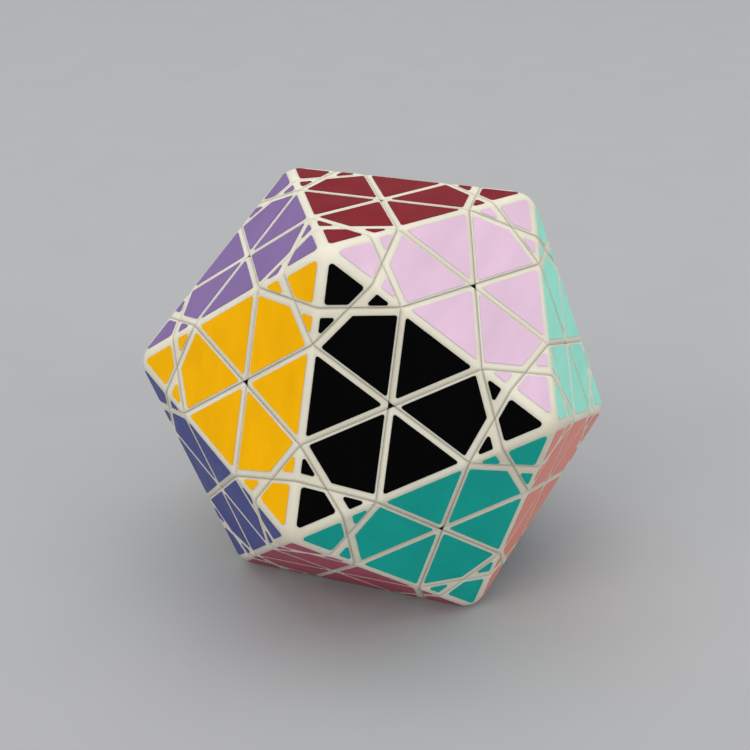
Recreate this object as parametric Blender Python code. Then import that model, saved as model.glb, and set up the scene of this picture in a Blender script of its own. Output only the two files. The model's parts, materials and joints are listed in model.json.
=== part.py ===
"""Icosahedral twisty puzzle, standing on one of its twenty triangular faces.

Twenty cuts, one parallel to each face, divide the outside into 12 corner pieces, 60 small
triangle pieces, 60 kite-shaped petals and 30 edge pieces. Every piece is the part of the
icosahedron that lies outside the cuts of a few neighbouring faces and inside all the others,
so each one is found from the set of faces whose cuts it lies beyond. Four layers, under faces
that share no piece, turn on hubs that springs and screws hold to a central core.
"""
import math
from itertools import combinations

import bmesh
import bpy
from mathutils import Matrix, Vector

MM = 0.001

# Driving dimensions of the outside
FACE_RADIUS = 50.0 * MM             # centre of the puzzle to each face
CENTRE_OPENING = 0.15 * MM          # how far the cuts stop short of meeting at a face's centre
HALF_GAP = 0.15 * MM                # clearance on each side of every cut
CORNER_TRIM = 1.5 * MM              # blunting of the twelve points

# An icosahedron's proportions
EDGE = FACE_RADIUS * 12 / (3 * math.sqrt(3) + math.sqrt(15))
FACE_TILT = math.acos(math.sqrt(5) / 3)
CUT_DEPTH = FACE_RADIUS * math.cos(FACE_TILT) + CENTRE_OPENING
CORNER_RADIUS = EDGE * math.sin(math.radians(72))
NARROW_RING = EDGE / math.sqrt(3)
WIDE_RING = NARROW_RING * (1 + math.sqrt(5)) / 2
RING_HEIGHT = math.sqrt(CORNER_RADIUS ** 2 - WIDE_RING ** 2)

# Core: a ball with one post behind each face
BALL_RADIUS = 19.0 * MM
POST_RADIUS = 4.2 * MM
POST_ROOT = 15.0 * MM               # inside the ball
POST_TOP = 27.0 * MM
SCREW_HOLE_RADIUS = 1.8 * MM
SCREW_HOLE_BOTTOM = 21.0 * MM

# Hubs: distances from the centre of the puzzle, and radii from the hub's axis
HUB_BOTTOM = 27.3 * MM
HUB_STEM_RADIUS = 5.5 * MM
HUB_FLANGE_BOTTOM = 34.1 * MM
HUB_FLANGE_RADIUS = 9.8 * MM
HUB_TOP = 43.0 * MM
HUB_BORE_RADIUS = 1.9 * MM
HUB_POCKET_RADIUS = 4.2 * MM        # pocket for the spring and the screw's head
HUB_SHELF = 31.0 * MM               # bottom of that pocket

# Screws and springs
SHANK_RADIUS = 1.5 * MM
SCREW_TIP = 21.6 * MM
SCREW_COLLAR_BOTTOM = 38.9 * MM     # washer formed under the head
SCREW_COLLAR_TOP = 39.7 * MM
SCREW_COLLAR_RADIUS = 3.7 * MM
SCREW_HEAD_RADIUS = 2.8 * MM
SCREW_HEAD_TOP = 41.9 * MM
SPRING_RADIUS = 2.7 * MM
WIRE_RADIUS = 0.4 * MM
SPRING_CLEARANCE = 0.3 * MM
SPRING_TURNS = 4
SPRING_STEPS = 10                   # straight lengths in one turn
WIRE_SIDES = 5

# Feet of the edge pieces: distances from the centre of the puzzle along the foot's axis
FOOT_BOTTOM = 31.5 * MM
FOOT_TOP = 34.3 * MM
FOOT_HALF_WIDTH = 4.0 * MM          # towards the two hubs
FOOT_HALF_LENGTH = 3.2 * MM         # along the edge
NECK_TOP = 43.0 * MM                # well inside the edge piece
NECK_HALF_WIDTH = 2.4 * MM
NECK_HALF_LENGTH = 2.8 * MM

# Links that hold neighbouring pieces together where they never part
LINK_HALF_WIDTH = 0.6 * MM
LINK_HALF_LENGTH = 1.1 * MM

ROUND_SEGMENTS = 16
FIXED_HUB_SEGMENTS = 12
BALL_SEGMENTS = 20
WELD = 0.001 * MM
SAME_PLACE = 0.01 * MM
SHARP_ANGLE = math.radians(35)

CREAM = (0.83, 0.79, 0.68, 1.0)
GREY_NYLON = (0.62, 0.62, 0.60, 1.0)
STEEL = (0.55, 0.56, 0.57, 1.0)


# ---- The icosahedron ---------------------------------------------------------------------

def ring_of_three(radius, height, first_azimuth):
    """Three corners on one level, 120 degrees apart."""
    corners = []
    for step in range(3):
        azimuth = math.radians(first_azimuth + 120 * step)
        corners.append(Vector((radius * math.cos(azimuth), radius * math.sin(azimuth), height)))
    return corners


CORNERS = (ring_of_three(NARROW_RING, FACE_RADIUS, -90)
           + ring_of_three(WIDE_RING, RING_HEIGHT, -30)
           + ring_of_three(WIDE_RING, -RING_HEIGHT, -90)
           + ring_of_three(NARROW_RING, -FACE_RADIUS, -30))


def is_edge(first, second):
    """True where two corners are one edge length apart."""
    return abs((CORNERS[first] - CORNERS[second]).length - EDGE) < SAME_PLACE


FACES = [face for face in combinations(range(12), 3)
         if all(is_edge(*pair) for pair in combinations(face, 2))]
NORMALS = [sum((CORNERS[corner] for corner in face), Vector()).normalized() for face in FACES]

TOP_FACE = FACES.index((0, 1, 2))
TURNING_FACES = {
    "top": TOP_FACE,
    "front": FACES.index((3, 6, 9)),
    "rear": FACES.index((4, 7, 10)),
    "left": FACES.index((5, 8, 11)),
}
BOTTOM_FACE = FACES.index((9, 10, 11))


def faces_round(corner):
    """The five faces that meet at a corner."""
    return {index for index, face in enumerate(FACES) if corner in face}


def share_edge(first, second):
    """True for two faces with an edge in common."""
    return len(set(FACES[first]) & set(FACES[second])) == 2


# ---- Which cuts each kind of piece lies beyond ---------------------------------------------

def corner_cuts(corner):
    """A corner piece lies beyond the cuts of all five faces round it."""
    return frozenset(faces_round(corner))


def edge_cuts(first, second):
    """An edge piece lies beyond the cuts of the edge's two faces."""
    return frozenset(faces_round(first) & faces_round(second))


def petal_cuts(face, corner):
    """A petal lies beyond its own face's cut and those of its two neighbours at the corner."""
    neighbours = {other for other in faces_round(corner) if share_edge(face, other)}
    return frozenset(neighbours | {face})


def small_cuts(corner, missing):
    """A small triangle piece lies beyond four of the five cuts round a corner."""
    return frozenset(faces_round(corner) - {missing})


def pieces_round(corner):
    """The five petals and the five small triangle pieces round a corner."""
    petals = [petal_cuts(face, corner) for face in sorted(faces_round(corner))]
    smalls = [small_cuts(corner, face) for face in sorted(faces_round(corner))]
    return petals + smalls


# ---- Solids --------------------------------------------------------------------------------

def cut_away(solid, normal, distance):
    """Remove what lies beyond a plane, and close the cut."""
    geometry = solid.verts[:] + solid.edges[:] + solid.faces[:]
    bmesh.ops.bisect_plane(solid, geom=geometry, dist=WELD, plane_co=normal * distance,
                           plane_no=normal, clear_outer=True)
    rim = [edge for edge in solid.edges if edge.is_boundary]
    if rim:
        bmesh.ops.holes_fill(solid, edges=rim, sides=0)


def piece_solid(cuts, half_gap=HALF_GAP):
    """The block beyond the given faces' cuts and inside all the others, less the clearance."""
    solid = bmesh.new()
    for corner in CORNERS:
        solid.verts.new(corner)
    bmesh.ops.convex_hull(solid, input=solid.verts[:])
    bmesh.ops.dissolve_limit(solid, angle_limit=0.01, verts=solid.verts[:], edges=solid.edges[:])
    for face, normal in enumerate(NORMALS):
        if face in cuts:
            cut_away(solid, -normal, -CUT_DEPTH - half_gap)
        else:
            cut_away(solid, normal, CUT_DEPTH - half_gap)
    for corner in CORNERS:
        cut_away(solid, corner.normalized(), CORNER_RADIUS - CORNER_TRIM)
    bmesh.ops.remove_doubles(solid, verts=solid.verts[:], dist=WELD)
    bmesh.ops.recalc_face_normals(solid, faces=solid.faces[:])
    return solid


def block(half_width, half_length, bottom, top, placing):
    """A rectangular block along its own z axis, then placed."""
    solid = bmesh.new()
    size = Vector((2 * half_width, 2 * half_length, top - bottom))
    stretch = Matrix.LocRotScale(Vector((0, 0, (top + bottom) / 2)), None, size)
    bmesh.ops.create_cube(solid, size=1.0, matrix=placing @ stretch)
    return solid


def turned(profile, segments, closed=False):
    """A solid of revolution about z, from (radius, height) points."""
    solid = bmesh.new()
    points = [solid.verts.new((radius, 0, height)) for radius, height in profile]
    pairs = list(zip(points, points[1:]))
    if closed:
        pairs.append((points[-1], points[0]))
    outline = [solid.edges.new(pair) for pair in pairs]
    bmesh.ops.spin(solid, geom=points + outline, cent=(0, 0, 0), axis=(0, 0, 1),
                   angle=2 * math.pi, steps=segments, use_merge=True)
    bmesh.ops.remove_doubles(solid, verts=solid.verts[:], dist=WELD)
    bmesh.ops.recalc_face_normals(solid, faces=solid.faces[:])
    return solid


def as_mesh(solid, name, smooth=False):
    """Turn a bmesh into a mesh and free it."""
    mesh = bpy.data.meshes.new(name)
    solid.to_mesh(mesh)
    solid.free()
    if smooth:
        mesh.shade_smooth()
        mesh.set_sharp_from_angle(angle=SHARP_ANGLE)
    return mesh


def fused(solids, name, smooth=False):
    """One mesh from several overlapping solids."""
    meshes = [as_mesh(solid, name) for solid in solids]
    base = bpy.data.objects.new(name, meshes[0])
    bpy.context.scene.collection.objects.link(base)
    others = bpy.data.collections.new(name)
    for mesh in meshes[1:]:
        others.objects.link(bpy.data.objects.new(name, mesh))
    union = base.modifiers.new("union", "BOOLEAN")
    union.operation = "UNION"
    union.solver = "EXACT"
    union.operand_type = "COLLECTION"
    union.collection = others
    bpy.context.scene.collection.children.link(others)
    bpy.context.view_layer.update()
    evaluated = base.evaluated_get(bpy.context.evaluated_depsgraph_get())
    mesh = bpy.data.meshes.new_from_object(evaluated)
    mesh.name = name
    for helper in [base] + others.objects[:]:
        bpy.data.objects.remove(helper)
    bpy.data.collections.remove(others)
    if smooth:
        mesh.shade_smooth()
        mesh.set_sharp_from_angle(angle=SHARP_ANGLE)
    return mesh


def axes_along(direction, towards):
    """A rotation that takes z to a direction and x as near as it can to another."""
    z_axis = direction.normalized()
    x_axis = (towards - z_axis * towards.dot(z_axis)).normalized()
    return Matrix((x_axis, z_axis.cross(x_axis), z_axis)).transposed().to_4x4()


def face_axes(face):
    """Axes of a face: z out of it, x towards its first corner."""
    return axes_along(NORMALS[face], CORNERS[FACES[face][0]])


def corner_axes(corner):
    """Axes of a corner: z out of it, x towards one of its faces."""
    return axes_along(CORNERS[corner], NORMALS[min(faces_round(corner))])


def edge_axes(first, second):
    """Axes of an edge: z out of its middle, y along it, x towards the two hubs beside it."""
    middle = CORNERS[first] + CORNERS[second]
    return axes_along(middle, (CORNERS[second] - CORNERS[first]).cross(middle))


# ---- Meshes that repeat ----------------------------------------------------------------------

def edge_mesh(first, second):
    """An edge piece with the foot that hooks under the two hubs beside it."""
    axes = edge_axes(first, second)
    neck = block(NECK_HALF_WIDTH, NECK_HALF_LENGTH, (FOOT_BOTTOM + FOOT_TOP) / 2, NECK_TOP, axes)
    foot = block(FOOT_HALF_WIDTH, FOOT_HALF_LENGTH, FOOT_BOTTOM, FOOT_TOP, axes)
    return fused([piece_solid(edge_cuts(first, second)), neck, foot], "edge")


def link_between(smaller, larger):
    """A short bar through the wall that two neighbouring pieces share."""
    (cut,) = larger - smaller
    normal = NORMALS[cut]
    solid = piece_solid(larger, half_gap=0.0)
    wall = min(solid.faces, key=lambda face: face.normal.dot(normal))
    centre = wall.calc_center_median()
    solid.free()
    placing = Matrix.Translation(centre) @ axes_along(normal, centre)
    return block(LINK_HALF_WIDTH, LINK_HALF_WIDTH, -LINK_HALF_LENGTH, LINK_HALF_LENGTH, placing)


def group_mesh(pieces, name):
    """Pieces that always move together, linked where they touch."""
    solids = [piece_solid(cuts) for cuts in pieces]
    for smaller in pieces:
        for larger in pieces:
            if smaller < larger and len(larger - smaller) == 1:
                solids.append(link_between(smaller, larger))
    return fused(solids, name)


def petal_group(corner, face):
    """The petals and small pieces round a corner that turn with one of its faces."""
    return [cuts for cuts in pieces_round(corner) if face in cuts]


def middle_group(face):
    """What stays behind round a face: its edges, and pieces that no turning cut reaches."""
    turning = set(TURNING_FACES.values())
    pieces = [edge_cuts(*pair) for pair in combinations(FACES[face], 2)]
    for corner in FACES[face]:
        pieces += [cuts for cuts in pieces_round(corner) if not cuts & turning]
    return pieces


def middle_edges():
    """The six edges that touch neither a turning face nor the face opposite one."""
    turning = [NORMALS[face] for face in TURNING_FACES.values()]
    pairs = [pair for pair in combinations(range(12), 2) if is_edge(*pair)]
    chosen = []
    for pair in pairs:
        leanings = [NORMALS[face].dot(axis) for face in edge_cuts(*pair) for axis in turning]
        if max(abs(leaning) for leaning in leanings) < 0.99:
            chosen.append(pair)
    return chosen


def trimmed_by_neighbours(solid):
    """Cut a hub on the z axis back to the three cuts that cross above it."""
    for face, normal in enumerate(NORMALS):
        if share_edge(face, TOP_FACE):
            cut_away(solid, normal, CUT_DEPTH - HALF_GAP)
    return solid


def hub_mesh():
    """A turning hub: stem, flange over the edge pieces' feet, and a pocket for the spring."""
    profile = [
        (HUB_BORE_RADIUS, HUB_BOTTOM), (HUB_STEM_RADIUS, HUB_BOTTOM),
        (HUB_STEM_RADIUS, HUB_FLANGE_BOTTOM), (HUB_FLANGE_RADIUS, HUB_FLANGE_BOTTOM),
        (HUB_FLANGE_RADIUS, HUB_TOP), (HUB_POCKET_RADIUS, HUB_TOP),
        (HUB_POCKET_RADIUS, HUB_SHELF), (HUB_BORE_RADIUS, HUB_SHELF),
    ]
    return as_mesh(trimmed_by_neighbours(turned(profile, ROUND_SEGMENTS, closed=True)), "hub", True)


def fixed_hub_solid():
    """A hub of a layer that stays in line, with its post and its screw, as one solid."""
    profile = [
        (0, POST_ROOT), (POST_RADIUS, POST_ROOT), (POST_RADIUS, HUB_BOTTOM),
        (HUB_STEM_RADIUS, HUB_BOTTOM), (HUB_STEM_RADIUS, HUB_FLANGE_BOTTOM),
        (HUB_FLANGE_RADIUS, HUB_FLANGE_BOTTOM), (HUB_FLANGE_RADIUS, HUB_TOP),
        (HUB_POCKET_RADIUS, HUB_TOP), (HUB_POCKET_RADIUS, SCREW_COLLAR_TOP),
        (SCREW_HEAD_RADIUS, SCREW_COLLAR_TOP), (SCREW_HEAD_RADIUS, SCREW_HEAD_TOP),
        (0, SCREW_HEAD_TOP),
    ]
    return trimmed_by_neighbours(turned(profile, FIXED_HUB_SEGMENTS))


def open_post_solid():
    """A post with the hole that a turning hub's screw goes into."""
    profile = [
        (0, POST_ROOT), (POST_RADIUS, POST_ROOT), (POST_RADIUS, POST_TOP),
        (SCREW_HOLE_RADIUS, POST_TOP), (SCREW_HOLE_RADIUS, SCREW_HOLE_BOTTOM),
        (0, SCREW_HOLE_BOTTOM),
    ]
    return turned(profile, FIXED_HUB_SEGMENTS)


def core_mesh():
    """The ball with its twenty posts, and the sixteen hubs that stay in line with it."""
    ball = bmesh.new()
    bmesh.ops.create_uvsphere(ball, u_segments=BALL_SEGMENTS, v_segments=BALL_SEGMENTS // 2,
                              radius=BALL_RADIUS)
    solids = [ball]
    for face in range(len(FACES)):
        arm = open_post_solid() if face in TURNING_FACES.values() else fixed_hub_solid()
        turn = face_axes(face) @ face_axes(TOP_FACE).inverted()
        bmesh.ops.transform(arm, matrix=turn, verts=arm.verts[:])
        solids.append(arm)
    return fused(solids, "core", smooth=True)


def screw_mesh():
    """A screw with a washer formed under its head."""
    profile = [
        (0, SCREW_TIP), (SHANK_RADIUS, SCREW_TIP), (SHANK_RADIUS, SCREW_COLLAR_BOTTOM),
        (SCREW_COLLAR_RADIUS, SCREW_COLLAR_BOTTOM), (SCREW_COLLAR_RADIUS, SCREW_COLLAR_TOP),
        (SCREW_HEAD_RADIUS, SCREW_COLLAR_TOP), (SCREW_HEAD_RADIUS, SCREW_HEAD_TOP),
        (0, SCREW_HEAD_TOP),
    ]
    return as_mesh(turned(profile, ROUND_SEGMENTS), "screw", True)


def spring_mesh():
    """A compression spring between the hub's shelf and the screw's collar."""
    bottom = HUB_SHELF + SPRING_CLEARANCE + WIRE_RADIUS
    top = SCREW_COLLAR_BOTTOM - SPRING_CLEARANCE - WIRE_RADIUS
    steps = SPRING_TURNS * SPRING_STEPS
    solid = bmesh.new()
    rings = []
    for step in range(steps + 1):
        turn = 2 * math.pi * step / SPRING_STEPS
        height = bottom + (top - bottom) * step / steps
        ring = []
        for side in range(WIRE_SIDES):
            around = 2 * math.pi * side / WIRE_SIDES
            radius = SPRING_RADIUS + WIRE_RADIUS * math.cos(around)
            rise = WIRE_RADIUS * math.sin(around)
            point = (radius * math.cos(turn), radius * math.sin(turn), height + rise)
            ring.append(solid.verts.new(point))
        rings.append(ring)
    for first, second in zip(rings, rings[1:]):
        for side in range(WIRE_SIDES):
            after = (side + 1) % WIRE_SIDES
            solid.faces.new((first[side], first[after], second[after], second[side]))
    solid.faces.new(rings[0])
    solid.faces.new(rings[-1])
    bmesh.ops.recalc_face_normals(solid, faces=solid.faces[:])
    return as_mesh(solid, "spring", True)


# ---- Materials and placing -----------------------------------------------------------------------

def plain_material(name, colour, roughness, metallic=0.0):
    """A Principled material."""
    material = bpy.data.materials.new(name)
    material.use_nodes = True
    shader = material.node_tree.nodes["Principled BSDF"]
    shader.inputs["Base Color"].default_value = colour
    shader.inputs["Roughness"].default_value = roughness
    shader.inputs["Metallic"].default_value = metallic
    return material


def place(name, mesh, material, turn, parent):
    """Put one piece in the puzzle, with its origin at the puzzle's centre."""
    piece = bpy.data.objects.new(name, mesh)
    bpy.context.scene.collection.objects.link(piece)
    piece.parent = parent
    piece.matrix_local = turn
    if not mesh.materials:
        mesh.materials.append(material)
    return piece


def layer_pivot(name, centre):
    """An empty at the puzzle's centre, which every turning axis passes through."""
    pivot = bpy.data.objects.new(name, None)
    bpy.context.scene.collection.objects.link(pivot)
    pivot.empty_display_size = FACE_RADIUS
    pivot.location = centre
    return pivot


def build():
    """Model the whole puzzle."""
    for leftover in list(bpy.data.objects):
        bpy.data.objects.remove(leftover)

    cream = plain_material("cream_plastic", CREAM, 0.38)
    nylon = plain_material("grey_nylon", GREY_NYLON, 0.5)
    steel = plain_material("steel", STEEL, 0.3, 1.0)

    corner = as_mesh(piece_solid(corner_cuts(0)), "corner")
    edge = edge_mesh(0, 1)
    petals = group_mesh(petal_group(0, TOP_FACE), "petals")
    hub = hub_mesh()
    screw = screw_mesh()
    spring = spring_mesh()
    middle = group_mesh(middle_group(BOTTOM_FACE), "middle")

    centre = Vector((0, 0, FACE_RADIUS))
    core_pivot = layer_pivot("core_pivot", centre)
    place("core_with_posts", core_mesh(), nylon, Matrix(), core_pivot)

    home = face_axes(TOP_FACE).inverted()
    for number, (layer, face) in enumerate(TURNING_FACES.items(), start=1):
        pivot = layer_pivot(layer + "_pivot", centre)
        layer_turn = face_axes(face) @ home
        place(layer + "_hub", hub, nylon, layer_turn, pivot)
        place(layer + "_screw", screw, steel, layer_turn, core_pivot)
        place(layer + "_spring", spring, steel, layer_turn, core_pivot)
        place(f"middle_group_{number}", middle, cream, layer_turn, core_pivot)
        for step in range(3):
            turn = layer_turn @ Matrix.Rotation(math.radians(120 * step), 4, "Z")
            place(f"{layer}_corner_{step + 1}", corner, cream, turn, pivot)
            place(f"{layer}_edge_{step + 1}", edge, cream, turn, pivot)
            place(f"{layer}_petals_{step + 1}", petals, cream, turn, pivot)

    edge_home = edge_axes(0, 1).inverted()
    for number, pair in enumerate(middle_edges(), start=1):
        place(f"middle_edge_{number}", edge, cream, edge_axes(*pair) @ edge_home, core_pivot)


build()
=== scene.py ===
import json
import math
from itertools import combinations

import bmesh
import bpy
from mathutils import Matrix, Vector

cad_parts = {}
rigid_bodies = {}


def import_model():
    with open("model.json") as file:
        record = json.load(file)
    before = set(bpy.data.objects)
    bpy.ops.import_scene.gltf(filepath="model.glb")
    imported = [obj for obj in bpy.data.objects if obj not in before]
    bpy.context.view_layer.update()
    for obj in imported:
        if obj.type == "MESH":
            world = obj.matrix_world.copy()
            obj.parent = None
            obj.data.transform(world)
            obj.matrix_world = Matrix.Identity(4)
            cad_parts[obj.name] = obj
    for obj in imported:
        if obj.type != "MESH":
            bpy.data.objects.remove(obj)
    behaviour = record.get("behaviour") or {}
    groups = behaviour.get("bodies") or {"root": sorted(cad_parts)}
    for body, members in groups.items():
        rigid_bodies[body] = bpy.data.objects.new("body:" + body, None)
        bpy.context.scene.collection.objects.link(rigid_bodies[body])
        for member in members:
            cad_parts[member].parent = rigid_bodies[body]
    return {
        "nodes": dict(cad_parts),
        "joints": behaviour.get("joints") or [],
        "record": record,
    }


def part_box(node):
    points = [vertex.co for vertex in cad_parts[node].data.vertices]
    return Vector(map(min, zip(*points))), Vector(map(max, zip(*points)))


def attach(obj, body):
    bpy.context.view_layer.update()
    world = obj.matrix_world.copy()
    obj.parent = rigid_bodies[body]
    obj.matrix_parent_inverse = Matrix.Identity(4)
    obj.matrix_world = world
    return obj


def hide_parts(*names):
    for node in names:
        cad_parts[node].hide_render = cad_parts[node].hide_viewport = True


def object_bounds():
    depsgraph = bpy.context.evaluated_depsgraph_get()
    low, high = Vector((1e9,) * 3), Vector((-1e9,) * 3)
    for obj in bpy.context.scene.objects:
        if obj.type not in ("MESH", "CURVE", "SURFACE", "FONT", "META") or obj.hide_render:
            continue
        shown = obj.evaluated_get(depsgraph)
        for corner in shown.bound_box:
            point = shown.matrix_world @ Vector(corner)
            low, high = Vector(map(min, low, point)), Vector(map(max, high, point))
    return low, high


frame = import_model()
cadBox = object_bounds()
scene = bpy.context.scene
mm = 0.001                        # lengths are in metres
print("frame loaded:", len(frame["nodes"]), "packed nodes")


# The puzzle's own geometry, in its own axes: centre at the origin, one face up

cuts = {
    "centreOpening": 0.05 * mm,   # how far the cuts stop short of meeting in the middle of a face
    "tooClose": 0.001 * mm,       # points nearer than this are one point
    "sameLength": 0.1 * mm,       # lengths that differ by less are equal
}
faceRadius = (cadBox[1].z - cadBox[0].z) / 2                        # from the centre to a face
centre = Vector((0, 0, cadBox[0].z + faceRadius))
edgeLength = faceRadius * 12 / (3 * math.sqrt(3) + math.sqrt(15))
pointRadius = edgeLength * math.sin(math.radians(72))               # to a corner
cutDepth = faceRadius * math.sqrt(5) / 3 + cuts["centreOpening"]    # to a cut


def threePoints(radius, height, azimuth):
    points = []
    for step in range(3):
        angle = math.radians(azimuth + 120 * step)
        points.append(Vector((radius * math.cos(angle), radius * math.sin(angle), height)))
    return points


narrow = edgeLength / math.sqrt(3)
wide = narrow * (1 + math.sqrt(5)) / 2
wideHeight = math.sqrt(pointRadius ** 2 - wide ** 2)
points = (threePoints(narrow, faceRadius, -90) + threePoints(wide, wideHeight, -30)
          + threePoints(wide, -wideHeight, -90) + threePoints(narrow, -faceRadius, -30))


def isEdge(first, second):
    return abs((points[first] - points[second]).length - edgeLength) < cuts["sameLength"]


def anticlockwise(face):
    a, b, c = (points[corner] for corner in face)
    return face if (b - a).cross(c - a).dot(a + b + c) > 0 else (face[0], face[2], face[1])


faces = [anticlockwise(face) for face in combinations(range(len(points)), 3)
         if all(isEdge(*pair) for pair in combinations(face, 2))]
normals = [(points[a] + points[b] + points[c]).normalized() for a, b, c in faces]
topFace = faces.index((0, 1, 2))


def facesRound(corner):
    return {index for index, face in enumerate(faces) if corner in face}


def cornerAfter(face, corner):
    ring = faces[face]
    return ring[(ring.index(corner) + 1) % 3]


def cornerBefore(face, corner):
    ring = faces[face]
    return ring[(ring.index(corner) + 2) % 3]


def touching(face):
    return {other for other, ring in enumerate(faces) if len(set(faces[face]) & set(ring)) == 2}


# Each piece is known by the faces whose cuts it lies beyond

kindByCuts = {5: "corner", 4: "small", 3: "petal", 2: "edge"}


def kindOf(beyond):
    return kindByCuts[len(beyond)]


def cornerCuts(corner):
    return frozenset(facesRound(corner))


def edgeCuts(first, second):
    return frozenset(facesRound(first) & facesRound(second))


def petalCuts(face, corner):
    return frozenset((touching(face) & facesRound(corner)) | {face})


def smallCuts(first, second):
    beside = edgeCuts(first, second)
    near = set().union(*(touching(face) for face in beside)) & facesRound(first)
    return frozenset(near | beside)


def turnTo(face, corner):
    axes = []
    for normal, towards in ((normals[topFace], points[0]), (normals[face], points[corner])):
        across = (towards - normal * towards.dot(normal)).normalized()
        axes.append(Matrix((across, normal.cross(across), normal)).transposed())
    return axes[1] @ axes[0].inverted()


def allPieces():
    found = []
    for face, ring in enumerate(faces):
        for corner in ring:
            after = cornerAfter(face, corner)
            turn = turnTo(face, corner)
            middle = (points[corner] + points[after]) / 2
            found.append((petalCuts(face, corner), turn, corner, middle))
            found.append((smallCuts(corner, after), turn, corner, middle))
            if corner < after:
                found.append((edgeCuts(corner, after), turn, corner, middle))
            if face == min(facesRound(corner)):
                found.append((cornerCuts(corner), turn, corner, points[corner]))
    return found


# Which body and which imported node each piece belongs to

def facing(direction):
    return max(range(len(normals)), key=lambda face: normals[face].dot(direction))


def middleOf(node):
    low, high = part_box(node)
    return (low + high) / 2 - centre


turningBody = {facing(Vector(joint["axis"])): joint["child"] for joint in frame["joints"]}
rootBody = next(joint["parent"] for joint in frame["joints"])
oppositeFaces = {facing(-normals[face]) for face in turningBody}
nodeBody = {node: body for body, members in frame["record"]["behaviour"]["bodies"].items()
            for node in members}


def bodyOf(beyond):
    return next((turningBody[face] for face in beyond if face in turningBody), rootBody)


def nodeOf(beyond, corner, middle):
    body, kind = bodyOf(beyond), kindOf(beyond)
    if kind == "corner":
        family, place = "_corner_", middle
    elif kind == "edge" and not beyond & oppositeFaces:
        family, place = "_edge_", middle
    elif body != rootBody:
        family, place = "_petals_", points[corner]
    else:
        around = (beyond if kind == "edge" else facesRound(corner)) & oppositeFaces
        family, place = "_group_", normals[min(around)] * faceRadius
    names = [name for name in frame["nodes"] if nodeBody[name] == body and family in name]
    return min(names, key=lambda name: (middleOf(name) - place).length)


# Objects, meshes and node trees

def placed(name, data):
    item = bpy.data.objects.new(name, data)
    scene.collection.objects.link(item)
    return item


def meshOf(solid, name):
    mesh = bpy.data.meshes.new(name)
    solid.to_mesh(mesh)
    solid.free()
    return mesh


def applied(worker, name):
    bpy.context.view_layer.update()
    evaluated = worker.evaluated_get(bpy.context.evaluated_depsgraph_get())
    mesh = bpy.data.meshes.new_from_object(evaluated)
    mesh.name = name
    bpy.data.objects.remove(worker)
    return mesh


def addNode(tree, kind, inputs=None, **settings):
    node = tree.nodes.new(kind)
    for name, value in settings.items():
        setattr(node, name, value)
    for label, value in (inputs or {}).items():
        node.inputs[label].default_value = value
    return node


def join(tree, outputSocket, inputSocket):
    tree.links.new(outputSocket, inputSocket)


# Geometry Nodes: one tree places copies, one cuts a sticker out of film

def newTree(name, sockets):
    tree = bpy.data.node_groups.new(name, "GeometryNodeTree")
    tree.interface.new_socket("Geometry", in_out="INPUT", socket_type="NodeSocketGeometry")
    for label, kind in sockets.items():
        tree.interface.new_socket(label, in_out="INPUT", socket_type=kind)
    tree.interface.new_socket("Geometry", in_out="OUTPUT", socket_type="NodeSocketGeometry")
    return tree, addNode(tree, "NodeGroupInput"), addNode(tree, "NodeGroupOutput")


def attributeIn(tree, name, kind):
    node = addNode(tree, "GeometryNodeInputNamedAttribute", data_type=kind)
    node.inputs["Name"].default_value = name
    return node.outputs["Attribute"]


def placingTree():
    tree, given, result = newTree("placeCopies", {"Templates": "NodeSocketCollection",
                                                  "Finish": "NodeSocketMaterial"})
    library = addNode(tree, "GeometryNodeCollectionInfo",
                      {"Separate Children": True, "Reset Children": True},
                      transform_space="ORIGINAL")
    copies = addNode(tree, "GeometryNodeInstanceOnPoints", {"Pick Instance": True})
    real = addNode(tree, "GeometryNodeRealizeInstances")
    finish = addNode(tree, "GeometryNodeSetMaterial")
    join(tree, given.outputs["Templates"], library.inputs["Collection"])
    join(tree, given.outputs["Geometry"], copies.inputs["Points"])
    join(tree, library.outputs["Instances"], copies.inputs["Instance"])
    join(tree, attributeIn(tree, "kind", "INT"), copies.inputs["Instance Index"])
    join(tree, attributeIn(tree, "turn", "QUATERNION"), copies.inputs["Rotation"])
    join(tree, copies.outputs["Instances"], real.inputs["Geometry"])
    join(tree, real.outputs["Geometry"], finish.inputs["Geometry"])
    join(tree, given.outputs["Finish"], finish.inputs["Material"])
    join(tree, finish.outputs["Geometry"], result.inputs["Geometry"])
    return tree


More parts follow.
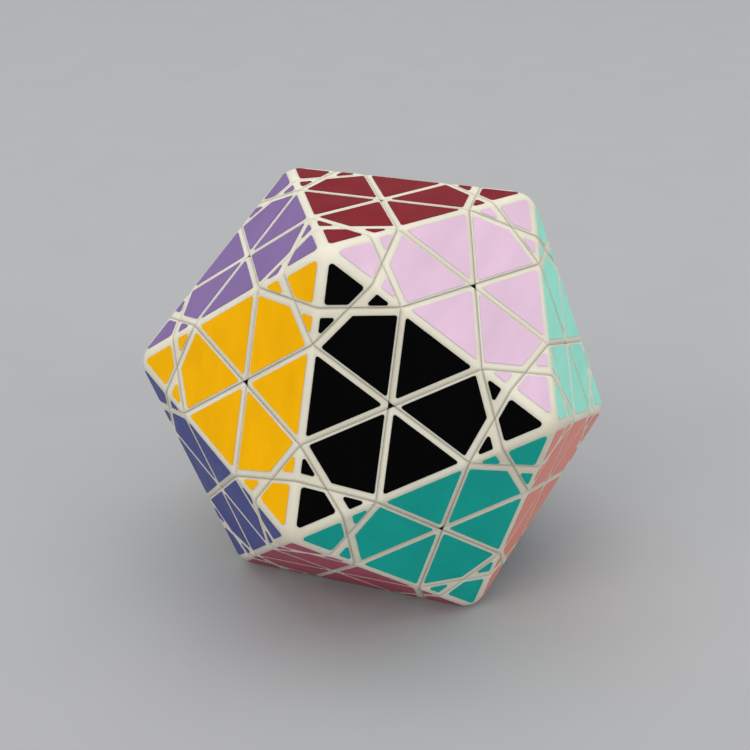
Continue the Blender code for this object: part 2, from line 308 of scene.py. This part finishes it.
def stickerTree():
    tree, given, result = newTree("cutSticker", {
        "Thickness": "NodeSocketFloat", "Height": "NodeSocketFloat", "Arc Points": "NodeSocketInt"})
    outline = addNode(tree, "GeometryNodeMeshToCurve")
    fillet = addNode(tree, "GeometryNodeFilletCurve", {"Limit Radius": True}, mode="POLY")
    fill = addNode(tree, "GeometryNodeFillCurve", mode="NGONS")
    raised = addNode(tree, "GeometryNodeExtrudeMesh", {"Individual": False})
    underside = addNode(tree, "GeometryNodeFlipFaces")
    both = addNode(tree, "GeometryNodeJoinGeometry")
    weld = addNode(tree, "GeometryNodeMergeByDistance", {"Distance": cuts["tooClose"]})
    lift = addNode(tree, "ShaderNodeCombineXYZ")
    place = addNode(tree, "GeometryNodeTransform")
    join(tree, given.outputs["Geometry"], outline.inputs["Mesh"])
    join(tree, outline.outputs["Curve"], fillet.inputs["Curve"])
    join(tree, attributeIn(tree, "roundness", "FLOAT"), fillet.inputs["Radius"])
    join(tree, given.outputs["Arc Points"], fillet.inputs["Count"])
    join(tree, fillet.outputs["Curve"], fill.inputs["Curve"])
    join(tree, fill.outputs["Mesh"], raised.inputs["Mesh"])
    join(tree, given.outputs["Thickness"], raised.inputs["Offset Scale"])
    join(tree, fill.outputs["Mesh"], underside.inputs["Mesh"])
    join(tree, raised.outputs["Mesh"], both.inputs["Geometry"])
    join(tree, underside.outputs["Mesh"], both.inputs["Geometry"])
    join(tree, both.outputs["Geometry"], weld.inputs["Geometry"])
    join(tree, given.outputs["Height"], lift.inputs["Z"])
    join(tree, weld.outputs["Geometry"], place.inputs["Geometry"])
    join(tree, lift.outputs["Vector"], place.inputs["Translation"])
    join(tree, place.outputs["Geometry"], result.inputs["Geometry"])
    return tree


def runTree(tree, mesh, name, values):
    worker = placed(name + "_worker", mesh)
    modifier = worker.modifiers.new("nodes", "NODES")
    modifier.node_group = tree
    for item in tree.interface.items_tree:
        if item.in_out == "INPUT" and item.name in values:
            modifier[item.identifier] = values[item.name]
    return applied(worker, name)


# Materials. Noises are (scale, detail, stretch), bumps are (strength, depth)

noiseSpan = (0.3, 0.7)            # nearly all of a noise's values lie between these


def principled(name, inputs):
    material = bpy.data.materials.new(name)
    material.use_nodes = True
    shader = material.node_tree.nodes["Principled BSDF"]
    for label, value in inputs.items():
        shader.inputs[label].default_value = value
    return material, material.node_tree, shader


def noiseOn(tree, scale, detail, stretch=(1, 1, 1), turn=(0, 0, 0)):
    where = addNode(tree, "ShaderNodeTexCoord")
    mapping = addNode(tree, "ShaderNodeMapping", {"Scale": stretch, "Rotation": turn})
    noise = addNode(tree, "ShaderNodeTexNoise", {"Scale": scale, "Detail": detail})
    join(tree, where.outputs["Object"], mapping.inputs["Vector"])
    join(tree, mapping.outputs["Vector"], noise.inputs["Vector"])
    return noise.outputs["Fac"]


def spread(tree, source, low, high):
    span = addNode(tree, "ShaderNodeMapRange", {"From Min": noiseSpan[0], "From Max": noiseSpan[1],
                                                "To Min": low, "To Max": high})
    join(tree, source, span.inputs["Value"])
    return span.outputs["Result"]


def tinted(tree, source, darker, lighter):
    mix = addNode(tree, "ShaderNodeMix", {"A": darker, "B": lighter}, data_type="RGBA")
    join(tree, spread(tree, source, 0.0, 1.0), mix.inputs["Factor"])
    return mix.outputs["Result"]


def bumped(tree, shader, sources):
    last = None
    for source, strength, depth in sources:
        bump = addNode(tree, "ShaderNodeBump", {"Strength": strength, "Distance": depth})
        join(tree, source, bump.inputs["Height"])
        if last:
            join(tree, last.outputs["Normal"], bump.inputs["Normal"])
        last = bump
    join(tree, last.outputs["Normal"], shader.inputs["Normal"])


def linear(red, green, blue):
    parts = []
    for part in (red, green, blue):
        share = part / 255
        parts.append(share / 12.92 if share <= 0.04045 else ((share + 0.055) / 1.055) ** 2.4)
    return (*parts, 1.0)


def scaled(colour, factor):
    return (*(min(1.0, part * factor) for part in colour[:3]), 1.0)


plastic = {
    "darker": linear(216, 208, 187),
    "lighter": linear(226, 220, 202),
    # painted shade: the plastic darkens to this colour in the grooves between pieces
    "paintedSeamShade": linear(172, 156, 130),
    "seamShadeReach": (0.1, 1.0, 0.4),      # where the painted seam shade begins, where it is full, how strong
    "roughness": (0.34, 0.46),
    "shine": 0.3,
    "translucency": 0.6,
    "lightReach": 2.4 * mm,
    "reachOfColours": (1.0, 0.85, 0.6),
    "cloud": (45.0, 4),
    "ripple": (320.0, 2),
    "rippleBump": (0.25, 0.05 * mm),
    "grain": (2600.0, 2),
    "grainBump": (0.3, 0.02 * mm),
}


def creamPlastic():
    material, tree, shader = principled("creamPlastic", {
        "Subsurface Weight": plastic["translucency"], "Subsurface Scale": plastic["lightReach"],
        "Subsurface Radius": plastic["reachOfColours"], "Specular IOR Level": plastic["shine"]})
    cloud = noiseOn(tree, *plastic["cloud"])
    # painted shade in the grooves: the deeper a point lies below the outer skin, the more it is
    # darkened towards the seam shade colour
    depth = addNode(tree, "ShaderNodeAttribute", attribute_name="seam")
    begins, full, strength = plastic["seamShadeReach"]
    reach = addNode(tree, "ShaderNodeMapRange",
                    {"From Min": begins, "From Max": full, "To Max": strength},
                    interpolation_type="SMOOTHSTEP")
    seam = addNode(tree, "ShaderNodeMix", {"B": plastic["paintedSeamShade"]}, data_type="RGBA")
    join(tree, depth.outputs["Fac"], reach.inputs["Value"])
    join(tree, reach.outputs["Result"], seam.inputs["Factor"])
    join(tree, tinted(tree, cloud, plastic["darker"], plastic["lighter"]), seam.inputs["A"])
    join(tree, seam.outputs["Result"], shader.inputs["Base Color"])
    join(tree, spread(tree, cloud, *plastic["roughness"]), shader.inputs["Roughness"])
    bumped(tree, shader, [(noiseOn(tree, *plastic["ripple"]), *plastic["rippleBump"]),
                          (noiseOn(tree, *plastic["grain"]), *plastic["grainBump"])])
    return material


film = {
    "thickness": 0.12 * mm,
    "sink": 0.01 * mm,            # how far its back lies inside the plastic
    "arcPoints": 6,
    "shine": 0.3,
    "ior": 1.12,
    "shade": (0.93, 1.05),        # how far the streaks darken and lighten the colour
    "streak": (160.0, 5, (1.0, 0.12, 0.6)),
    "streakTilt": (0.4, 0.2),
    "turnPerFace": 0.7,           # radians that the streaks turn from one face to the next
    "roughness": (0.3, 0.42),
    "cloud": (70.0, 3),
    "wrinkle": (55.0, 1, (1.0, 0.45, 1.0)),
    "wrinkleBump": (0.12, 0.5 * mm),
    "grain": (2600.0, 2),
    "grainBump": (0.08, 0.02 * mm),
}


def filmMaterial(name, colour, angle):
    material, tree, shader = principled(name, {"Specular IOR Level": film["shine"],
                                               "IOR": film["ior"]})
    streak = noiseOn(tree, *film["streak"], (*film["streakTilt"], angle))
    tones = [scaled(colour, factor) for factor in film["shade"]]
    join(tree, tinted(tree, streak, *tones), shader.inputs["Base Color"])
    cloud = noiseOn(tree, *film["cloud"])
    join(tree, spread(tree, cloud, *film["roughness"]), shader.inputs["Roughness"])
    wrinkle = noiseOn(tree, *film["wrinkle"], (0, 0, angle))
    bumped(tree, shader, [(wrinkle, *film["wrinkleBump"]),
                          (noiseOn(tree, *film["grain"]), *film["grainBump"])])
    return material


nylon = {
    "darker": linear(190, 190, 186),
    "lighter": linear(205, 205, 201),
    "roughness": (0.42, 0.58),
    "translucency": 0.08,
    "lightReach": 1.0 * mm,
    "cloud": (90.0, 4),
    "grain": (1800.0, 3),
    "grainBump": (0.3, 0.03 * mm),
}


def nylonMaterial():
    material, tree, shader = principled("greyNylon", {"Subsurface Weight": nylon["translucency"],
                                                      "Subsurface Scale": nylon["lightReach"]})
    cloud = noiseOn(tree, *nylon["cloud"])
    join(tree, tinted(tree, cloud, nylon["darker"], nylon["lighter"]), shader.inputs["Base Color"])
    join(tree, spread(tree, cloud, *nylon["roughness"]), shader.inputs["Roughness"])
    bumped(tree, shader, [(noiseOn(tree, *nylon["grain"]), *nylon["grainBump"])])
    return material


steel = {
    "darker": linear(176, 178, 180),
    "lighter": linear(205, 206, 208),
    "roughness": (0.22, 0.4),
    "brushed": (900.0, 4, (1.0, 1.0, 0.1)),
    "brushedBump": (0.15, 0.02 * mm),
}


def steelMaterial():
    material, tree, shader = principled("springSteel", {"Metallic": 1.0})
    brushed = noiseOn(tree, *steel["brushed"])
    join(tree, tinted(tree, brushed, steel["darker"], steel["lighter"]), shader.inputs["Base Color"])
    join(tree, spread(tree, brushed, *steel["roughness"]), shader.inputs["Roughness"])
    bumped(tree, shader, [(brushed, *steel["brushedBump"])])
    return material


# The four kinds of moulded piece, made once each round the first corner of the top face

moulding = {
    "halfGap": 0.01 * mm,         # between a piece and its cut
    "rimWidth": 0.8 * mm,         # from the flat face to the line of the cut
    "rimDepth": 0.36 * mm,        # how far below the face two pieces meet
    "rimSteps": 5,
    "ridgeRadius": 3.0 * mm,      # rounding along the icosahedron's edges
    "tipRadius": 6.0 * mm,        # rounding at its corners
    "ridgeSteps": 5,
    "tipShares": (0.2, 0.4, 0.6, 0.8),
    "uprightRadius": 0.18 * mm,   # rounding between two walls
    "uprightSteps": 2,
    "sliver": 0.015 * mm,         # shorter sides are drawn together
    "broadFace": 12 * mm * mm,    # faces that get a ring to keep them looking flat
    "ring": 0.1 * mm,
    "smoothAngle": math.radians(38),
}
foot = {
    "bottom": 31.5 * mm, "top": 34.3 * mm, "halfWidth": 4.0 * mm, "halfLength": 3.2 * mm,
    "neckBottom": 32.5 * mm, "neckTop": 43.0 * mm,
    "neckHalfWidth": 2.4 * mm, "neckHalfLength": 2.8 * mm,
    "bevel": 0.35 * mm, "bevelSteps": 2,
}


def outerPlane(direction, radius):
    core = max(point.dot(direction) for point in points) / faceRadius
    return direction, core * (faceRadius - radius) + radius


def outerPlanes(beyond):
    directions = [normals[face] for face in beyond]
    steps = moulding["ridgeSteps"]
    for first, second in combinations(sorted(beyond), 2):
        if second in touching(first):
            directions += [normals[first].slerp(normals[second], step / (steps + 1))
                           for step in range(1, steps + 1)]
    planes = [outerPlane(direction, moulding["ridgeRadius"]) for direction in directions]
    if kindOf(beyond) == "corner":
        tip = sum((normals[face] for face in beyond), Vector()).normalized()
        caps = [tip] + [tip.slerp(direction, share) for direction in directions
                        for share in moulding["tipShares"]]
        planes += [outerPlane(direction, moulding["tipRadius"]) for direction in caps]
    return planes


def wallPlanes(beyond):
    planes = []
    for face, normal in enumerate(normals):
        side = -1 if face in beyond else 1
        planes.append((normal * side, cutDepth * side - moulding["halfGap"]))
    return planes


def rimPlanes(outer, wall):
    (up, height), (side, reach) = outer, wall
    cosine = side.dot(up)
    across = side - up * cosine
    sine = across.length
    line = (reach - height * cosine) / sine
    fall = moulding["rimDepth"]
    run = moulding["rimWidth"] + fall * cosine / sine
    radius = (run ** 2 + fall ** 2) / (2 * fall)
    end = math.atan2(run, radius - fall)
    planes = []
    for step in range(1, moulding["rimSteps"] + 1):
        angle = end * step / moulding["rimSteps"]
        distance = (math.cos(angle) * (height - radius) + radius
                    + math.sin(angle) * (line - moulding["rimWidth"]))
        planes.append((up * math.cos(angle) + across / sine * math.sin(angle), distance))
    return planes


def uprightPlanes(first, second):
    apart = first[0].angle(second[0])
    radius = moulding["uprightRadius"]
    planes = []
    for step in range(1, moulding["uprightSteps"] + 1):
        share = step / (moulding["uprightSteps"] + 1)
        near = math.sin((1 - share) * apart) / math.sin(apart)
        far = math.sin(share * apart) / math.sin(apart)
        planes.append((first[0] * near + second[0] * far,
                       near * (first[1] - radius) + far * (second[1] - radius) + radius))
    return planes


def bisected(solid, place, normal):
    geometry = solid.verts[:] + solid.edges[:] + solid.faces[:]
    bmesh.ops.bisect_plane(solid, geom=geometry, dist=cuts["tooClose"], plane_co=place,
                           plane_no=normal, clear_outer=True)


def cutAway(solid, plane):
    normal, distance = plane
    bisected(solid, normal * distance, normal)
    rim = [edge for edge in solid.edges if edge.is_boundary]
    if rim:
        bmesh.ops.holes_fill(solid, edges=rim, sides=0)


def planeOf(face, planes):
    return max(range(len(planes)), key=lambda index: planes[index][0].dot(face.normal))


def smoothed(mesh):
    mesh.shade_smooth()
    mesh.set_sharp_from_angle(angle=moulding["smoothAngle"])
    return mesh


def pieceMesh(beyond, name):
    solid = bmesh.new()
    bmesh.ops.create_cube(solid, size=4 * faceRadius)    # a block larger than the puzzle
    outer = outerPlanes(beyond)
    planes = outer + wallPlanes(beyond)
    for plane in planes:
        cutAway(solid, plane)
    bmesh.ops.recalc_face_normals(solid, faces=solid.faces[:])
    meetings = {tuple(sorted(planeOf(face, planes) for face in edge.link_faces))
                for edge in solid.edges}
    for first, second in sorted(meetings):
        roundings = []
        if first < len(outer) <= second:
            roundings = rimPlanes(planes[first], planes[second])
        elif len(outer) <= first < second:
            roundings = uprightPlanes(planes[first], planes[second])
        for plane in roundings:
            cutAway(solid, plane)
    bmesh.ops.remove_doubles(solid, verts=solid.verts[:], dist=moulding["sliver"])
    bmesh.ops.recalc_face_normals(solid, faces=solid.faces[:])
    broad = [face for face in solid.faces if face.calc_area() > moulding["broadFace"]]
    bmesh.ops.inset_individual(solid, faces=broad, thickness=moulding["ring"])
    return smoothed(meshOf(solid, name))


# the depth below the outer skin, written as the mask for the painted shade in the grooves between
# pieces
def markSeamShade(mesh, beyond):
    depths = mesh.attributes.new("seam", "FLOAT", "POINT")
    skin = outerPlanes(beyond)
    for vertex in mesh.vertices:
        depth = min(distance - direction.dot(vertex.co) for direction, distance in skin)
        share = min(1.0, max(0.0, depth / moulding["rimDepth"]))
        depths.data[vertex.index].value = math.sqrt(share)


def footBlocks(first, second):
    middle = (points[first] + points[second]).normalized()
    along = (points[second] - points[first]).normalized()
    axes = Matrix((along.cross(middle), along, middle)).transposed().to_4x4()
    blocks = [(foot["halfWidth"], foot["halfLength"], foot["bottom"], foot["top"]),
              (foot["neckHalfWidth"], foot["neckHalfLength"], foot["neckBottom"], foot["neckTop"])]
    meshes = []
    for width, length, low, high in blocks:
        solid = bmesh.new()
        size = Matrix.LocRotScale(Vector((0, 0, (low + high) / 2)), None,
                                  Vector((2 * width, 2 * length, high - low)))
        bmesh.ops.create_cube(solid, size=1.0, matrix=axes @ size)
        bmesh.ops.bevel(solid, geom=solid.edges[:], offset=foot["bevel"],
                        segments=foot["bevelSteps"], profile=0.5, affect="EDGES")
        meshes.append(meshOf(solid, "footBlock"))
    return meshes


def united(base, others, name):
    worker = placed(name, base)
    helpers = []
    for mesh in others:
        helper = placed(name + "_helper", mesh)
        union = worker.modifiers.new("union", "BOOLEAN")
        union.operation = "UNION"
        union.solver = "EXACT"
        union.object = helper
        helpers.append(helper)
    mesh = applied(worker, name)
    for helper in helpers:
        bpy.data.objects.remove(helper)
    return smoothed(mesh)


def pieceTemplates():
    templates = {}
    for beyond in (cornerCuts(0), edgeCuts(0, 1), petalCuts(topFace, 0), smallCuts(0, 1)):
        kind = kindOf(beyond)
        mesh = pieceMesh(beyond, kind)
        if kind == "edge":
            mesh = united(mesh, footBlocks(0, 1), kind)
        markSeamShade(mesh, beyond)
        templates[kind] = mesh
    return templates


# The five sticker outlines on the top face: how far each stays from the lines round it

stickers = {
    "corner": {"ridge": 1.5 * mm, "centre": 0.0, "beyond": 0.85 * mm, "before": 0.0,
               "round": 0.75 * mm},
    "petal": {"ridge": 0.0, "centre": 0.97 * mm, "beyond": 0.0, "before": 1.6 * mm,
              "round": 0.45 * mm},
    "edge": {"ridge": 1.1 * mm, "centre": 0.97 * mm, "beyond": 0.0, "before": 0.0,
             "round": 0.45 * mm},
    "small": {"ridge": 1.0 * mm, "centre": 0.0, "beyond": 0.6 * mm, "before": 2.0 * mm,
              "round": 0.45 * mm},
    "pointRound": 2.3 * mm,       # on the end that points at a corner of the puzzle
    "sliver": 0.05 * mm,          # shorter sides are drawn together
}


def stickerOutline(beyond, name):
    kind = kindOf(beyond)
    margins = stickers[kind]
    shrink = 1 - margins["ridge"] / (faceRadius * (3 - math.sqrt(5)) / 2)
    flat = bmesh.new()
    corners = [flat.verts.new((points[corner].x * shrink, points[corner].y * shrink, 0))
               for corner in faces[topFace]]
    flat.faces.new(corners)
    for face, normal in enumerate(normals):
        if face == topFace or normal.z < 0:
            continue
        across = Vector((normal.x, normal.y, 0))
        distance = (cutDepth - normal.z * faceRadius) / across.length
        side = 1 if face in beyond else -1
        label = "centre" if face in touching(topFace) else "beyond" if side == 1 else "before"
        bisected(flat, across.normalized() * (distance + side * margins[label]), -side * across)
    bmesh.ops.remove_doubles(flat, verts=flat.verts[:], dist=stickers["sliver"])
    tip = max(flat.verts, key=lambda corner: corner.co.length)
    layer = flat.verts.layers.float.new("roundness")
    for corner in flat.verts:
        pointing = kind == "corner" and corner == tip
        corner[layer] = stickers["pointRound"] if pointing else margins["round"]
    bmesh.ops.delete(flat, geom=flat.faces[:], context="FACES_ONLY")
    return meshOf(flat, name)


def stickersRound(face, corner):
    after, before = cornerAfter(face, corner), cornerBefore(face, corner)
    return {"stickerCorner": cornerCuts(corner), "stickerPetal": petalCuts(face, corner),
            "stickerEdge": edgeCuts(corner, after), "stickerSmallAfter": smallCuts(corner, after),
            "stickerSmallBefore": smallCuts(corner, before)}


def stickerTemplates(tree):
    sizes = {"Thickness": film["thickness"], "Height": faceRadius - film["sink"],
             "Arc Points": film["arcPoints"]}
    return {name: runTree(tree, stickerOutline(beyond, name), name, sizes)
            for name, beyond in stickersRound(topFace, 0).items()}


filmColours = {
    (0, 1, 2): ("crimson", linear(120, 12, 24)),
    (0, 1, 3): ("orchid", linear(216, 184, 205)),
    (0, 3, 6): ("black", linear(3, 3, 3)),
    (0, 5, 6): ("yellow", linear(242, 176, 6)),
    (0, 2, 5): ("purple", linear(126, 100, 152)),
    (1, 3, 7): ("aqua", linear(152, 228, 208)),
    (3, 6, 9): ("teal", linear(26, 166, 153)),
    (5, 6, 11): ("slateBlue", linear(74, 80, 140)),
    (3, 7, 9): ("coral", linear(232, 146, 132)),
    (6, 9, 11): ("rose", linear(178, 84, 102)),
    (1, 2, 4): ("white", linear(236, 236, 232)),
    (2, 5, 8): ("limeGreen", linear(140, 190, 60)),
    (2, 4, 8): ("orange", linear(230, 110, 30)),
    (1, 4, 7): ("skyBlue", linear(96, 168, 214)),
    (5, 8, 11): ("grey", linear(150, 152, 156)),
    (4, 8, 10): ("darkGreen", linear(24, 96, 58)),
    (4, 7, 10): ("brown", linear(112, 70, 44)),
    (7, 9, 10): ("navy", linear(34, 44, 104)),
    (8, 10, 11): ("beige", linear(206, 176, 136)),
    (9, 10, 11): ("lemon", linear(236, 228, 96)),
}


# Putting copies of the templates where they belong

def templateCollection(name, meshes):
    collection = bpy.data.collections.new(name)
    for label in sorted(meshes):
        collection.objects.link(bpy.data.objects.new(label, meshes[label]))
    return collection


def emptied(collection):
    for template in collection.objects[:]:
        bpy.data.objects.remove(template)


def copiesMesh(tree, collection, copies, name, material):
    order = sorted(template.name for template in collection.objects)
    mesh = bpy.data.meshes.new(name)
    mesh.from_pydata([tuple(centre)] * len(copies), [], [])
    kind = mesh.attributes.new("kind", "INT", "POINT")
    turn = mesh.attributes.new("turn", "QUATERNION", "POINT")
    for index, (label, rotation) in enumerate(copies):
        kind.data[index].value = order.index(label)
        turn.data[index].value = rotation.to_quaternion()
    return runTree(tree, mesh, name, {"Templates": collection, "Finish": material})


def addPiece(mesh, name, body):
    piece = placed(name, mesh)
    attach(piece, body)
    return piece


def placeMouldings(tree, material):
    collection = templateCollection("mouldedTemplates", pieceTemplates())
    groups = {}
    for beyond, turn, corner, middle in allPieces():
        groups.setdefault(nodeOf(beyond, corner, middle), []).append((kindOf(beyond), turn))
    for node, copies in sorted(groups.items()):
        name = node + "_moulding"
        mesh = copiesMesh(tree, collection, copies, name, material)
        piece = addPiece(mesh, name, nodeBody[node])
        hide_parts(node)
    emptied(collection)
    print("mouldings:", len(groups), "nodes,", sum(map(len, groups.values())), "pieces")


def placeStickers(tree, cutTree):
    collection = templateCollection("stickerTemplates", stickerTemplates(cutTree))
    groups = {}
    for face, ring in enumerate(faces):
        for corner in ring:
            for name, beyond in stickersRound(face, corner).items():
                groups.setdefault((face, bodyOf(beyond)), []).append((name, turnTo(face, corner)))
    materials = {}
    for (face, body), copies in sorted(groups.items()):
        colourName, colour = filmColours[tuple(sorted(faces[face]))]
        if face not in materials:
            materials[face] = filmMaterial("film_" + colourName, colour, face * film["turnPerFace"])
        name = f"stickers_{colourName}_{body}"
        mesh = copiesMesh(tree, collection, copies, name, materials[face])
        addPiece(mesh, name, body)
    emptied(collection)
    print("stickers:", sum(map(len, groups.values())), "in", len(groups), "groups")


placing = placingTree()
placeMouldings(placing, creamPlastic())
placeStickers(placing, stickerTree())


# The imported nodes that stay: core, hubs, screws and springs

nylonFinish = nylonMaterial()
steelFinish = steelMaterial()
staying = {node: item for node, item in frame["nodes"].items() if not item.hide_render}
for node, item in staying.items():
    item.data.materials.clear()
    item.data.materials.append(steelFinish if node.endswith(("_screw", "_spring")) else nylonFinish)
print("packed nodes that stay:", len(staying))


# Floor, light and camera

studio = {
    "floorSize": 9.0,
    "floorColour": linear(167, 167, 168),
    "floorShade": 0.97,           # the darkest patches, against the floor's colour
    "floorCloud": (30.0, 5),
    "floorRoughness": 0.75,
    "worldColour": (0.96, 0.98, 1.0, 1.0),
    "worldStrength": 0.73,
}
camera = {
    "azimuth": 19.714, "elevation": 24.758, "roll": 0.385,
    "distance": 0.35814, "lens": 65.957, "aside": -1.42 * mm, "above": 2.33 * mm,
    "sensorWidth": 36.0, "clipStart": 0.01,
}
lamps = {
    "overhead": {"at": (0.1, 0.1, 2.4), "size": 3.2, "power": 27.0},
    "front": {"at": (-0.9, -2.2, 1.7), "size": 1.8, "power": 19.0},
    "right": {"at": (2.2, -0.8, 1.2), "size": 1.2, "power": 7.0},
}


def makeFloor():
    half = studio["floorSize"] / 2
    flat = bpy.data.meshes.new("floor")
    flat.from_pydata([(-half, -half, 0), (half, -half, 0), (half, half, 0), (-half, half, 0)], [],
                     [(0, 1, 2, 3)])
    floor = placed("floor", flat)
    floor.location.z = -film["thickness"]
    material, tree, shader = principled("paperSweep", {"Roughness": studio["floorRoughness"]})
    cloud = noiseOn(tree, *studio["floorCloud"])
    darker = scaled(studio["floorColour"], studio["floorShade"])
    join(tree, tinted(tree, cloud, darker, studio["floorColour"]), shader.inputs["Base Color"])
    flat.materials.append(material)


def makeLights():
    world = bpy.data.worlds.new("studio")
    world.use_nodes = True
    background = world.node_tree.nodes["Background"]
    background.inputs["Color"].default_value = studio["worldColour"]
    background.inputs["Strength"].default_value = studio["worldStrength"]
    scene.world = world
    for name, settings in lamps.items():
        light = bpy.data.lights.new(name, "AREA")
        light.shape = "DISK"
        light.size = settings["size"]
        light.energy = settings["power"]
        lamp = placed(name, light)
        lamp.location = settings["at"]
        towards = centre - Vector(settings["at"])
        lamp.rotation_euler = towards.to_track_quat("-Z", "Y").to_euler()


def makeCamera():
    azimuth = math.radians(camera["azimuth"])
    elevation = math.radians(camera["elevation"])
    back = Vector((math.sin(azimuth) * math.cos(elevation), -math.cos(azimuth) * math.cos(elevation),
                   math.sin(elevation)))
    level = Vector((math.cos(azimuth), math.sin(azimuth), 0))
    rise = back.cross(level)
    roll = math.radians(camera["roll"])
    right = level * math.cos(roll) + rise * math.sin(roll)
    up = rise * math.cos(roll) - level * math.sin(roll)
    data = bpy.data.cameras.new("camera")
    data.lens = camera["lens"]
    data.sensor_width = camera["sensorWidth"]
    data.clip_start = camera["clipStart"]
    item = placed("camera", data)
    place = centre + back * camera["distance"] + right * camera["aside"] + up * camera["above"]
    item.matrix_world = Matrix.Translation(place) @ Matrix((right, up, back)).transposed().to_4x4()
    scene.camera = item


makeFloor()
makeLights()
makeCamera()
scene.view_settings.view_transform = "Standard"
print("studio ready")
